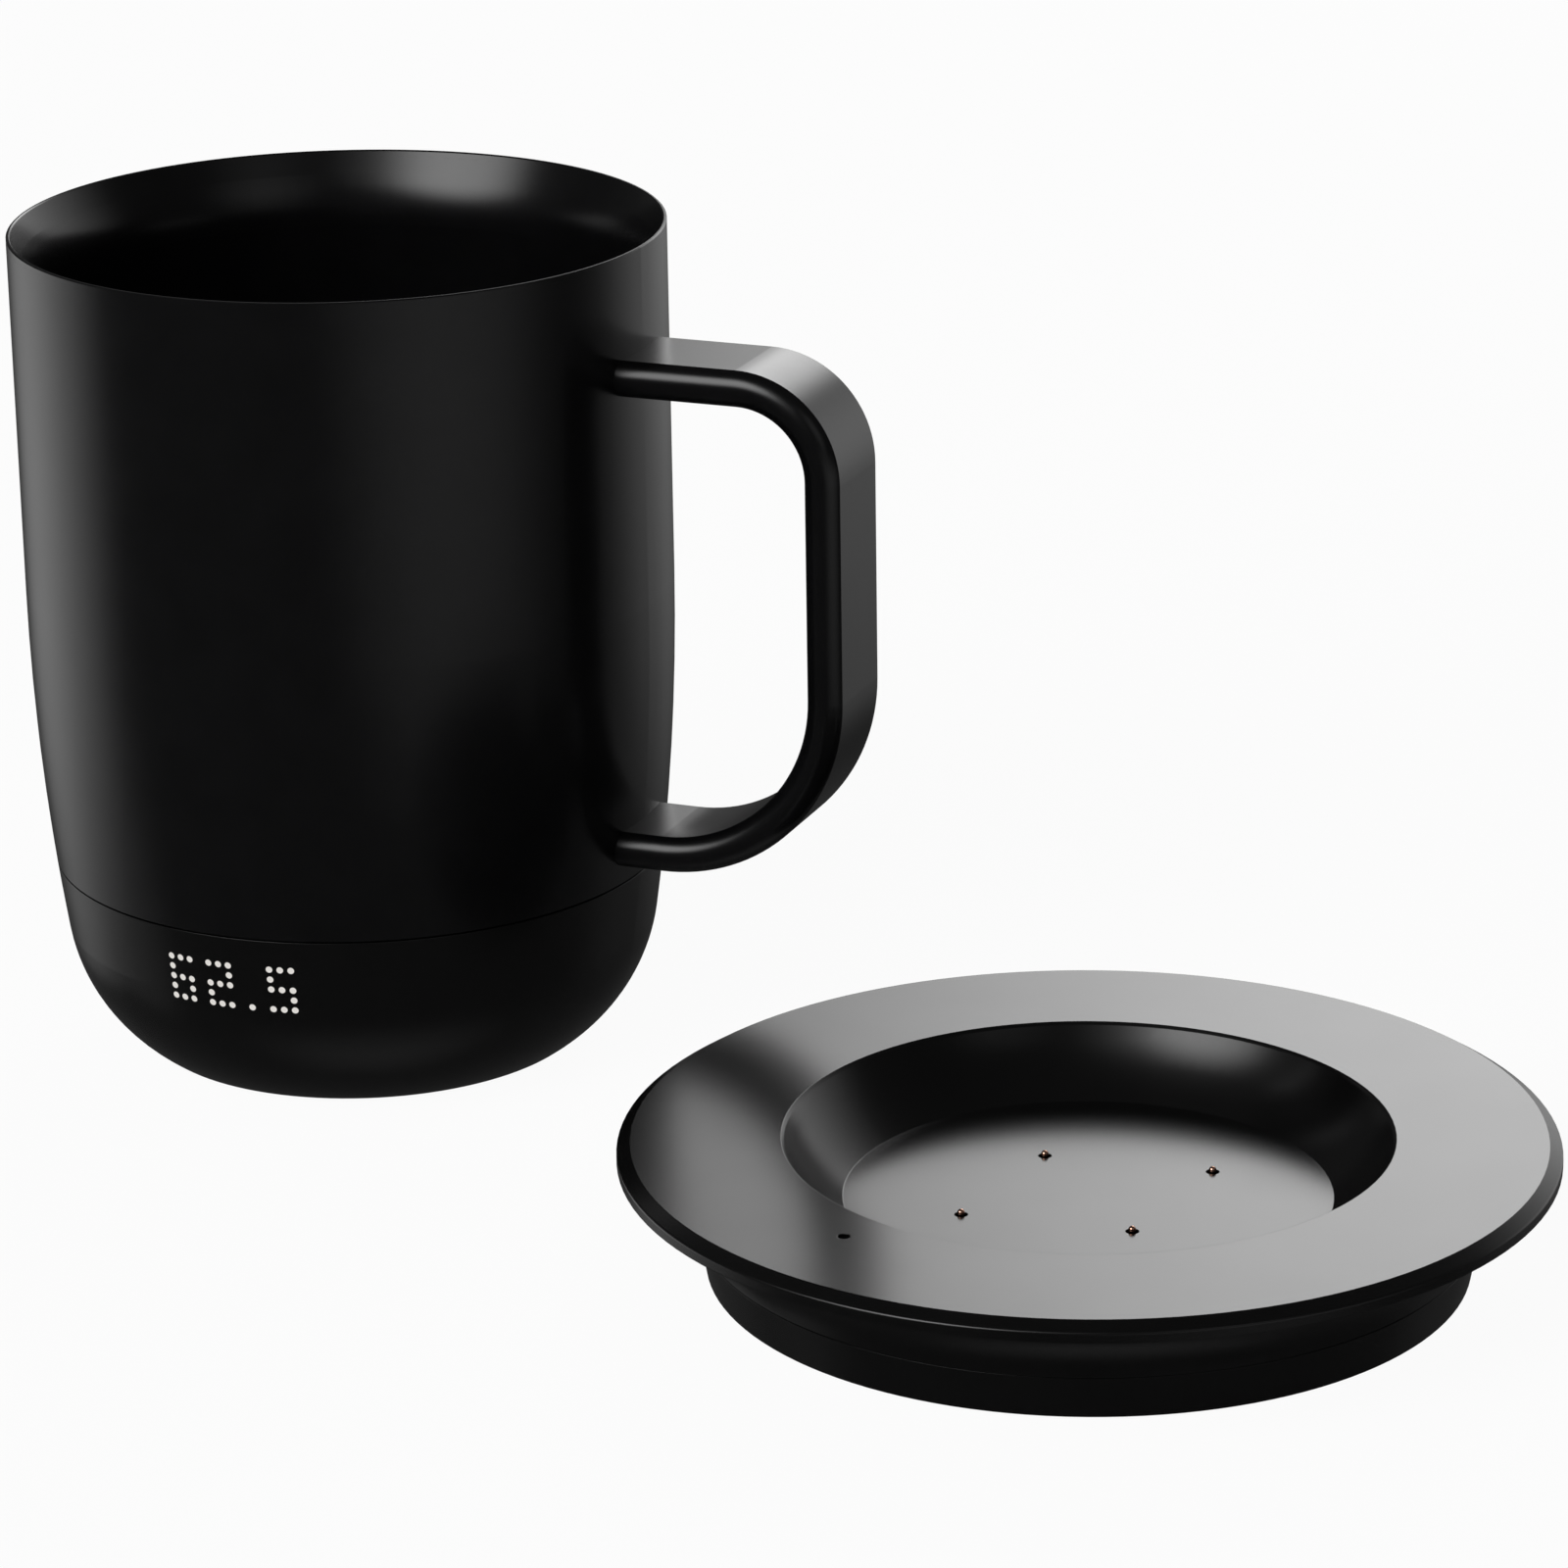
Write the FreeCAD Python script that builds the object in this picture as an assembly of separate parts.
import FreeCAD, Part
import math
import os

# Self-heating mug beside its charging coaster, in millimetres, +Z up.
# The origin is on the table under the middle of the coaster.
# The mug stands on the same table, behind and to the left of the coaster.
# Each mug piece is built about the mug's own axis, with the handle towards +X and the
# number display towards -Y, and is then carried to the mug's place.

Vector = FreeCAD.Vector
UP = Vector(0, 0, 1)
OUTWARDS = Vector(1, 0, 0)
ORIGIN = Vector(0, 0, 0)

# Where the mug stands
MUG_X = -91.4
MUG_Y = 82.6
MUG_TURN = -22.0

# Mug, outside
MUG_HEIGHT = 108.9
MUG_RADIUS = 42.0
TAPER_START = 62.0
TAPER_ARC = 326.0
CORNER_START = 16.5
CORNER_ARC = 23.6
SEAM_HEIGHT = 25.7
SEAM_GAP = 0.25
FOOT_PROUD = 0.3

# Steel walls of the mug
SHELL_WALL = 0.8
CUP_WALL = 0.7
LIP_WIDTH = 3.3
CUP_CORNER = 9.0
LIP_DEPTH = 6.1
LIP_BEND = 7.1
RIM_EDGE = 0.5
RIM_CAP = 0.8
RIM_ROUND = 0.15
WELD_DEPTH = 2.0

# Handle
HANDLE_STANDOFF = 28.75
HANDLE_TOP_DROP = 13.1
HANDLE_SEAM_GAP = 2.95
HANDLE_THICKNESS = 4.7
HANDLE_FLAT_WIDTH = 12.3
HANDLE_SIDE_BULGE = 1.6
HANDLE_UPPER_BEND = 13.75
HANDLE_LOWER_BEND = 25.0
HANDLE_SCREW_RADIUS = 1.3
HANDLE_SCREW_LENGTH = 9.0
HANDLE_SCREW_HEAD_RADIUS = 2.4
HANDLE_SCREW_HEAD = 0.9

# Plastic base shell of the mug
BASE_WALL = 1.8
BASE_FLOOR = 1.7
COLLAR_HEIGHT = 2.4
COLLAR_WALL = 1.3
COLLAR_FIT = 0.1
GASKET_HEIGHT = 1.0
GASKET_DEPTH = 0.6
SHELF_WIDTH = 3.5
SHELF_THICKNESS = 1.2
FOOT_RING_WIDTH = 2.4
FOOT_RING_DEPTH = 0.6
FOOT_RING_INSET = 1.2

# Cover under the mug, with its contact rings
COVER_EDGE = 1.3
COVER_FIT = 0.15
COVER_RECESS = 0.1
COVER_FLANGE = 0.8
COVER_LEDGE = 1.9
COVER_HUB = 1.2
CONTACT_SPACING = 3.8
CONTACT_SCREW_GAP = 3.45
CONTACT_WIDTH = 2.0
CONTACT_THICKNESS = 0.8
CONTACT_LEG_RADIUS = 0.5
CONTACT_PROUD = 0.05
COVER_SCREW_INSET = 2.0
COVER_SCREW_RADIUS = 1.0
COVER_SCREW_HEAD_RADIUS = 1.7
COVER_SCREW_HEAD = 1.0
COVER_SCREW_GRIP = 1.6
COVER_SCREW_COUNT = 4
STANDOFF_RADIUS = 2.3
STANDOFF_HEIGHT = 3.2

# Power button in the middle of the cover
BUTTON_RADIUS = 5.3
BUTTON_FIT = 0.1
BUTTON_FLANGE_WIDTH = 1.1
BUTTON_FLANGE = 0.6
BUTTON_RECESS = 0.5
BUTTON_TRAVEL = 0.5
BUTTON_NUB_RADIUS = 1.5
SWITCH_SIZE = 5.6
SWITCH_HEIGHT = 1.6
BUTTON_SPRING_RADIUS = 5.2
BUTTON_SPRING_WIRE = 0.2
BUTTON_SPRING_TURNS = 3

# Electronics and cells in the mug's base
BOARD_THICKNESS = 1.2
BOARD_EDGE_GAP = 0.4
TRAY_THICKNESS = 1.4
TRAY_FENCE = 3.0
TRAY_FENCE_WALL = 1.0
CELL_WIDTH = 24.0
CELL_THICKNESS = 11.0
CELL_GAP = 2.0
CELL_FIT = 0.2
CELL_EDGE_GAP = 1.4
CELL_ROUND = 2.0
PAD_THICKNESS = 1.4
PAD_MARGIN = 6.0
CELL_COVER_THICKNESS = 1.2
INSULATION_THICKNESS = 6.0
HEATER_THICKNESS = 0.4
SPREADER_THICKNESS = 1.5
HEATER_MARGIN = 1.1
SENSOR_SIZE = 4.0
SENSOR_HEIGHT = 1.5
SENSOR_GAP = 1.0
WIRE_RADIUS = 0.6
WIRE_CLEAR = 0.6
HEATER_WIRE_SPREAD = 3.6
HEATER_WIRE_INSET = 2.2
CELL_WIRE_OUT = 2.4
CELL_WIRE_BEND = 1.5

# Number display: a grid of small lamps behind a thin place in the base shell
DISPLAY_DROP = 6.7
DISPLAY_COLUMNS = 13
DISPLAY_ROWS = 5
DISPLAY_PITCH = 1.4
LAMP_SIZE = 0.9
LAMP_DEPTH = 0.5
WINDOW_SKIN = 0.8
WINDOW_MARGIN = 1.2
WINDOW_FIT = 0.1
DISPLAY_BOARD_MARGIN = 2.4
DISPLAY_BOARD_THICKNESS = 1.0
DISPLAY_WALL_GAP = 0.25
DISPLAY_RIB = 1.4
DISPLAY_RIB_LAP = 1.2
RIBBON_WIDTH = 8.0
RIBBON_THICKNESS = 0.3
RIBBON_SLOT_CLEAR = 0.5
RIBBON_FALL = 1.0
RIBBON_EDGE = 1.6

# Coaster, outside
COASTER_HEIGHT = 16.1
FLANGE_WIDTH = 19.8
FLANGE_BEVEL_WIDTH = 1.6
FLANGE_BEVEL_DROP = 1.0
FLANGE_EDGE_ROUND = 0.4
LIP_THICKNESS = 2.25
LIP_UNDERCUT = 1.1
COASTER_SEAM = 5.3
COASTER_SEAM_GAP = 0.1
COASTER_DRAFT = 0.9
COASTER_FOOT_PROUD = 0.15
COASTER_WALL = 1.8
RECESS_DEPTH = 7.85
RECESS_EDGE_ROUND = 0.35
RECESS_FLOOR = 1.5
SEAT_CLEARANCE = 0.6

# Coaster base
COASTER_FLOOR = 1.2
COASTER_COLLAR_WALL = 1.3
COASTER_COLLAR_HEIGHT = 2.2
COASTER_FOOT_INSET = 1.8
COASTER_FOOT_DEPTH = 0.4
COASTER_SCREW_INSET = 2.4
COASTER_SCREW_COUNT = 3
COASTER_SCREW_TURN = 30.0
COASTER_SCREW_RADIUS = 1.2
COASTER_SCREW_HEAD_RADIUS = 2.0
COASTER_SCREW_HEAD = 1.3
COASTER_SCREW_GRIP = 5.0
COASTER_BOSS_RADIUS = 2.8
COASTER_BOSS_HEIGHT = 3.2
BALLAST_WIDTH = 8.0
BALLAST_THICKNESS = 3.0
BALLAST_CLEAR = 0.3

# Sprung contact pins in the recess
PIN_TURN = 21.2
PIN_PAIR_TURN = 90.0
PIN_HOLE_RADIUS = 0.8
PIN_TIP_RADIUS = 0.45
PIN_TRAVEL = 0.6
PIN_PRESSED_PROUD = 0.1
PIN_SHOULDER_RADIUS = 0.95
PIN_SHOULDER = 0.6
BARREL_RADIUS = 1.25
BARREL_WALL = 0.22
PIN_RUN_FIT = 0.06
SPRING_END_PLAY = 0.02
PIN_SPRING_RADIUS = 0.72
PIN_SPRING_WIRE = 0.11
PIN_SPRING_TURNS = 4
PIN_BLOCK_MARGIN = 3.0
PIN_BLOCK_FIT = 0.1

# Board, inlet and lamp of the coaster
CHARGER_EDGE_GAP = 2.4
CHARGER_BOARD_THICKNESS = 1.0
CHARGER_STANDOFF = 0.8
CHARGER_STANDOFF_RADIUS = 2.2
CHARGER_SCREW_INSET = 5.0
CHARGER_SCREW_RADIUS = 0.8
CHARGER_SCREW_HEAD_RADIUS = 1.6
CHARGER_SCREW_HEAD = 0.9
CHARGER_SCREW_COUNT = 3
CHARGER_SCREW_TURN = 30.0
INLET_WIDTH = 8.94
INLET_HEIGHT = 3.1
INLET_LENGTH = 7.4
INLET_WALL = 0.3
INLET_FIT = 0.12
INLET_SETBACK = 0.2
INLET_RAISE = 0.3
TONGUE_WIDTH = 6.7
TONGUE_THICKNESS = 0.7
TONGUE_GAP = 1.2
BOARD_NOSE_WIDTH = 14.0
BOARD_NOSE_LAP = 2.5
LAMP_INSET = 1.2
LAMP_TURN = -134.3
LIGHT_PIPE_RADIUS = 0.72
LIGHT_PIPE_FIT = 0.03
LIGHT_PIPE_RECESS = 0.8
LIGHT_PIPE_HEAD_RADIUS = 1.5
LIGHT_PIPE_HEAD = 1.2
STATUS_LAMP_SIZE = 2.4
STATUS_LAMP_HEIGHT = 1.2
LAMP_BOARD_LENGTH = 7.0
LAMP_BOARD_WIDTH = 4.4
LAMP_BOARD_THICKNESS = 0.8
LAMP_POST_RADIUS = 1.8
LAMP_WIRE_RADIUS = 0.4
LAMP_WIRE_SPREAD = 2.0
LAMP_WIRE_BEND = 1.2
TOUCH_GAP = 0.1


# Small helpers

def vec(radius, height):
    """A point of an outline that is turned about the Z axis."""
    return Vector(radius, 0, height)


def line(start, end):
    return Part.makeLine(start, end)


def arc_about(centre, radius, start_angle, end_angle):
    """An arc in the XZ plane; angles in radians from +X towards +Z."""
    def at(angle):
        return centre + Vector(radius * math.cos(angle), 0, radius * math.sin(angle))
    middle = (start_angle + end_angle) / 2
    return Part.Arc(at(start_angle), at(middle), at(end_angle)).toShape()


def outline_face(edges):
    """A flat face inside a closed run of edges that meet end to end."""
    return Part.Face(Part.Wire(Part.__sortEdges__(edges)))


def turned(edges, angle=360.0, start=0.0):
    """The solid swept by an outline in the XZ plane about the Z axis."""
    solid = outline_face(edges).revolve(ORIGIN, UP, angle)
    solid.rotate(ORIGIN, UP, start)
    return solid


def turned_points(points):
    """The same for an outline of straight lines through (radius, height) pairs."""
    corners = [vec(radius, height) for radius, height in points]
    return turned([line(a, b) for a, b in zip(corners, corners[1:] + corners[:1])])


def disc(radius, bottom, thickness, x=0.0, y=0.0):
    return Part.makeCylinder(radius, thickness, Vector(x, y, bottom), UP)


def ring(inner, outer, bottom, thickness):
    return disc(outer, bottom, thickness).cut(disc(inner, bottom, thickness))


def block(x_size, y_size, bottom, height, x=0.0, y=0.0):
    """A box centred on (x, y)."""
    return Part.makeBox(x_size, y_size, height, Vector(x - x_size / 2, y - y_size / 2, bottom))


def around(count, circle, first=0.0):
    """Evenly spaced (x, y) places on a circle; the first angle is in degrees."""
    for index in range(count):
        angle = math.radians(first + index * 360.0 / count)
        yield circle * math.cos(angle), circle * math.sin(angle)


def on_circle(circle, angle):
    return circle * math.cos(math.radians(angle)), circle * math.sin(math.radians(angle))


def chord_y(radius, x):
    """How far out a circle of this radius lies at this x."""
    return math.sqrt(radius ** 2 - x ** 2)


def wire_along(points, radius, bend):
    """A round wire through the points, with its corners bent."""
    corners = [Vector(*point) for point in points]
    edges = []
    start = corners[0]
    for before, corner, after in zip(corners, corners[1:], corners[2:]):
        into = (before - corner).normalize()
        out = (after - corner).normalize()
        first = corner + into * bend
        last = corner + out * bend
        towards = (into + out).normalize()
        half = math.acos(max(-1.0, min(1.0, into.dot(out)))) / 2
        reach = bend / math.cos(half) - bend * math.tan(half)
        edges.append(line(start, first))
        edges.append(Part.Arc(first, corner + towards * reach, last).toShape())
        start = last
    edges.append(line(start, corners[-1]))
    path = Part.Wire(edges)
    heading = (corners[1] - corners[0]).normalize()
    section = Part.Wire(Part.makeCircle(radius, corners[0], heading))
    return path.makePipeShell([section], True, False)


def coil(mean_radius, wire_radius, bottom, top, turns):
    """A compression spring that stands between two heights, in quarter-turn arcs."""
    low = bottom + wire_radius
    rise = top - bottom - 2 * wire_radius

    def at(quarters):
        angle = quarters * math.pi / 2
        return Vector(mean_radius * math.cos(angle), mean_radius * math.sin(angle),
                      low + rise * quarters / (4 * turns))
    arcs = [Part.Arc(at(q), at(q + 0.5), at(q + 1)).toShape() for q in range(4 * turns)]
    heading = Vector(0, mean_radius, rise / turns / (2 * math.pi)).normalize()
    section = Part.Wire(Part.makeCircle(wire_radius, at(0), heading))
    return Part.Wire(arcs).makePipeShell([section], True, False)


# The mug's side: a straight wall, then a long arc that draws it in, then the base corner.
# An inset moves the whole line inwards, and a negative one moves it outwards.

TAPER_ANGLE = math.asin((TAPER_START - CORNER_START) / TAPER_ARC)
TAPER_CENTRE = vec(MUG_RADIUS - TAPER_ARC, TAPER_START)
CORNER_CENTRE = TAPER_CENTRE + vec((TAPER_ARC - CORNER_ARC) * math.cos(TAPER_ANGLE),
                                   -(TAPER_ARC - CORNER_ARC) * math.sin(TAPER_ANGLE))


def corner_height(inset):
    return CORNER_CENTRE.z - (CORNER_ARC - inset) * math.sin(TAPER_ANGLE)


def side_radius(height, inset=0.0):
    """Radius of the mug's side at a height above its foot."""
    if height >= TAPER_START:
        return MUG_RADIUS - inset
    if height >= corner_height(inset):
        centre, radius = TAPER_CENTRE, TAPER_ARC - inset
    else:
        centre, radius = CORNER_CENTRE, CORNER_ARC - inset
    return centre.x + math.sqrt(radius ** 2 - (height - centre.z) ** 2)


def side_edges(low, high, inset=0.0, lift=0.0):
    """Edges along the mug's side from one height to a higher one, raised by lift."""
    stops = [low]
    stops += [h for h in (corner_height(inset), TAPER_START) if low + 1e-6 < h < high - 1e-6]
    stops.append(high)
    edges = []
    for lower, upper in zip(stops, stops[1:]):
        start = vec(side_radius(lower, inset), lower + lift)
        end = vec(side_radius(upper, inset), upper + lift)
        if lower >= TAPER_START - 1e-6:
            edges.append(line(start, end))
        else:
            middle = (lower + upper) / 2
            edges.append(Part.Arc(start, vec(side_radius(middle, inset), middle + lift), end).toShape())
    return edges


def side_solid(low, high, inset=0.0):
    """Everything within the mug's side between two heights."""
    return turned([line(vec(0, low), vec(side_radius(low, inset), low))]
                  + side_edges(low, high, inset)
                  + [line(vec(side_radius(high, inset), high), vec(0, high)),
                     line(vec(0, high), vec(0, low))])


# Heights of the stack in the mug, from the foot up

COVER_BOTTOM = FOOT_PROUD + COVER_RECESS
COVER_STEP = COVER_BOTTOM + COVER_FLANGE
COVER_TOP = COVER_STEP + COVER_HUB
BOARD_BOTTOM = COVER_TOP + STANDOFF_HEIGHT
BOARD_TOP = BOARD_BOTTOM + BOARD_THICKNESS
TRAY_BOTTOM = BOARD_TOP + COVER_SCREW_GRIP
TRAY_TOP = TRAY_BOTTOM + TRAY_THICKNESS
CELL_TOP = TRAY_TOP + CELL_THICKNESS
PAD_TOP = CELL_TOP + PAD_THICKNESS
CELL_COVER_TOP = PAD_TOP + CELL_COVER_THICKNESS
INSULATION_TOP = CELL_COVER_TOP + INSULATION_THICKNESS
HEATER_TOP = INSULATION_TOP + HEATER_THICKNESS
SPREADER_TOP = HEATER_TOP + SPREADER_THICKNESS
CUP_FLOOR = SPREADER_TOP + CUP_WALL

SHELL_TOP = MUG_HEIGHT - RIM_CAP
LIP_FOLD = MUG_HEIGHT - LIP_DEPTH
SHELL_INNER = MUG_RADIUS - SHELL_WALL
CUP_RADIUS = MUG_RADIUS - LIP_WIDTH
CUP_OUTER = CUP_RADIUS + CUP_WALL
COLLAR_TOP = SEAM_HEIGHT + COLLAR_HEIGHT
COLLAR_RADIUS = side_radius(SEAM_HEIGHT, SHELL_WALL) - COLLAR_FIT
FOOT_RADIUS = side_radius(FOOT_PROUD)
FOOT_RING_OUTER = FOOT_RADIUS - FOOT_RING_INSET
FOOT_RING_INNER = FOOT_RING_OUTER - FOOT_RING_WIDTH
COVER_RADIUS = FOOT_RING_INNER - COVER_EDGE
HUB_RADIUS = COVER_RADIUS - COVER_LEDGE
COVER_SCREW_CIRCLE = HUB_RADIUS - COVER_SCREW_INSET
OUTER_CONTACT_RADIUS = COVER_SCREW_CIRCLE - CONTACT_SCREW_GAP
INNER_CONTACT_RADIUS = OUTER_CONTACT_RADIUS - CONTACT_SPACING
BOARD_RADIUS = side_radius(BOARD_BOTTOM, BASE_WALL) - BOARD_EDGE_GAP
SHELF_INNER = side_radius(TRAY_BOTTOM, BASE_WALL) - SHELF_WIDTH
TRAY_RADIUS = side_radius(TRAY_BOTTOM, BASE_WALL) - BOARD_EDGE_GAP
HEATER_RADIUS = CUP_RADIUS - CUP_CORNER - HEATER_MARGIN
CELL_LENGTH = 2 * chord_y(TRAY_RADIUS - CELL_EDGE_GAP, CELL_GAP / 2 + CELL_WIDTH)
CELL_X = (CELL_GAP + CELL_WIDTH) / 2
HEATER_WIRE_Y = HEATER_RADIUS - HEATER_WIRE_INSET
CELL_WIRE_Y = CELL_LENGTH / 2 + CELL_WIRE_OUT
DISPLAY_CENTRE = SEAM_HEIGHT - DISPLAY_DROP
DISPLAY_WIDTH = DISPLAY_COLUMNS * DISPLAY_PITCH
DISPLAY_HEIGHT = DISPLAY_ROWS * DISPLAY_PITCH
WINDOW_LOW = DISPLAY_CENTRE - DISPLAY_HEIGHT / 2 - WINDOW_MARGIN
WINDOW_HIGH = DISPLAY_CENTRE + DISPLAY_HEIGHT / 2 + WINDOW_MARGIN
DISPLAY_BOARD_WIDTH = DISPLAY_WIDTH + 2 * DISPLAY_BOARD_MARGIN
DISPLAY_BOARD_FRONT = (chord_y(side_radius(WINDOW_LOW, BASE_WALL), DISPLAY_BOARD_WIDTH / 2)
                       - DISPLAY_WALL_GAP)
DISPLAY_BOARD_BACK = DISPLAY_BOARD_FRONT - DISPLAY_BOARD_THICKNESS
RIBBON_DROP_Y = BOARD_RADIUS - RIBBON_EDGE


# Pieces of the mug

def mug_outer_shell():
    low = SEAM_HEIGHT + SEAM_GAP
    shell = turned(side_edges(low, SHELL_TOP)
                   + [line(vec(MUG_RADIUS, SHELL_TOP), vec(SHELL_INNER, SHELL_TOP))]
                   + side_edges(low, SHELL_TOP, SHELL_WALL)
                   + [line(vec(side_radius(low, SHELL_WALL), low), vec(side_radius(low), low))])
    for height in handle_arm_heights():
        start = vec(SHELL_INNER / 2, height)
        shell = shell.cut(Part.makeCylinder(HANDLE_SCREW_RADIUS, MUG_RADIUS, start, OUTWARDS))
    return shell


def inner_cup():
    """The steel cup: its lip flares out to the rim and caps the outer shell."""
    rim_inner = MUG_RADIUS - RIM_EDGE
    fold = vec(CUP_RADIUS, LIP_FOLD)
    lip_edge = vec(rim_inner, MUG_HEIGHT - RIM_ROUND)
    slope = (lip_edge - fold).normalize()
    bend_start = fold - UP * (LIP_BEND / 2)
    bend_end = fold + slope * (LIP_BEND / 2)
    bend_middle = (bend_start + bend_end + fold * 2) * 0.25
    outwards = Vector(slope.z, 0, -slope.x)
    outer_start = bend_start + OUTWARDS * CUP_WALL
    outer_middle = bend_middle + (OUTWARDS + outwards).normalize() * CUP_WALL
    outer_end = bend_end + outwards * CUP_WALL
    centre = vec(CUP_RADIUS - CUP_CORNER, CUP_FLOOR + CUP_CORNER)
    weld = vec(SHELL_INNER, SHELL_TOP - WELD_DEPTH)
    corners = [vec(rim_inner + RIM_ROUND, MUG_HEIGHT), vec(MUG_RADIUS - RIM_ROUND, MUG_HEIGHT),
               vec(MUG_RADIUS, MUG_HEIGHT - RIM_ROUND), vec(MUG_RADIUS, SHELL_TOP),
               vec(SHELL_INNER, SHELL_TOP), weld, outer_end]
    edges = [line(vec(0, CUP_FLOOR), vec(centre.x, CUP_FLOOR)),
             arc_about(centre, CUP_CORNER, -math.pi / 2, 0),
             line(vec(CUP_RADIUS, centre.z), bend_start),
             Part.Arc(bend_start, bend_middle, bend_end).toShape(),
             line(bend_end, lip_edge),
             line(lip_edge, corners[0])]
    edges += [line(a, b) for a, b in zip(corners, corners[1:])]
    edges += [Part.Arc(outer_end, outer_middle, outer_start).toShape(),
              line(outer_start, vec(CUP_OUTER, centre.z)),
              arc_about(centre, CUP_CORNER + CUP_WALL, 0, -math.pi / 2),
              line(vec(centre.x, SPREADER_TOP), vec(0, SPREADER_TOP)),
              line(vec(0, SPREADER_TOP), vec(0, CUP_FLOOR))]
    return turned(edges)


def handle_arm_heights():
    """Middle height of the upper and of the lower arm."""
    half = HANDLE_THICKNESS / 2
    return MUG_HEIGHT - HANDLE_TOP_DROP - half, SEAM_HEIGHT + HANDLE_SEAM_GAP + half


def handle_section(at_radius, at_height):
    """Flat outer and inner faces, and sides that bulge."""
    half_thick = HANDLE_THICKNESS / 2
    half_flat = HANDLE_FLAT_WIDTH / 2
    side = half_flat + HANDLE_SIDE_BULGE

    def at(y, z):
        return Vector(at_radius, y, at_height + z)
    corners = [at(-half_flat, half_thick), at(half_flat, half_thick),
               at(half_flat, -half_thick), at(-half_flat, -half_thick)]
    return Part.Wire([line(corners[0], corners[1]),
                      Part.Arc(corners[1], at(side, 0), corners[2]).toShape(),
                      line(corners[2], corners[3]),
                      Part.Arc(corners[3], at(-side, 0), corners[0]).toShape()])


def handle():
    upper, lower = handle_arm_heights()
    half = HANDLE_THICKNESS / 2
    outer = MUG_RADIUS + HANDLE_STANDOFF - half
    upper_bend = HANDLE_UPPER_BEND - half
    lower_bend = HANDLE_LOWER_BEND - half
    start = CUP_RADIUS - HANDLE_THICKNESS
    upper_centre = vec(outer - upper_bend, upper - upper_bend)
    lower_centre = vec(outer - lower_bend, lower + lower_bend)
    path = Part.Wire([line(vec(start, upper), vec(upper_centre.x, upper)),
                      arc_about(upper_centre, upper_bend, math.pi / 2, 0),
                      line(vec(outer, upper_centre.z), vec(outer, lower_centre.z)),
                      arc_about(lower_centre, lower_bend, 0, -math.pi / 2),
                      line(vec(lower_centre.x, lower), vec(start, lower))])
    bar = path.makePipeShell([handle_section(start, upper)], True, False)
    bar = bar.cut(side_solid(FOOT_PROUD, MUG_HEIGHT))
    for height in (upper, lower):
        bar = bar.cut(handle_screw_hole(height))
    return bar


def handle_screw_hole(height):
    seat = side_radius(height, SHELL_WALL)
    return Part.makeCylinder(HANDLE_SCREW_RADIUS, HANDLE_SCREW_LENGTH, vec(seat, height), OUTWARDS)


def handle_screws():
    """Two screws from inside the shell wall into the ends of the handle."""
    screws = []
    for height in handle_arm_heights():
        seat = min(side_radius(height - HANDLE_SCREW_HEAD_RADIUS, SHELL_WALL),
                   chord_y(side_radius(height, SHELL_WALL), HANDLE_SCREW_HEAD_RADIUS))
        head = Part.makeCylinder(HANDLE_SCREW_HEAD_RADIUS, HANDLE_SCREW_HEAD,
                                 vec(seat - HANDLE_SCREW_HEAD, height), OUTWARDS)
        neck = Part.makeCylinder(HANDLE_SCREW_RADIUS, MUG_RADIUS - seat, vec(seat, height), OUTWARDS)
        screws.append(head.fuse(neck).fuse(handle_screw_hole(height)).removeSplitter())
    return Part.makeCompound(screws)


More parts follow.
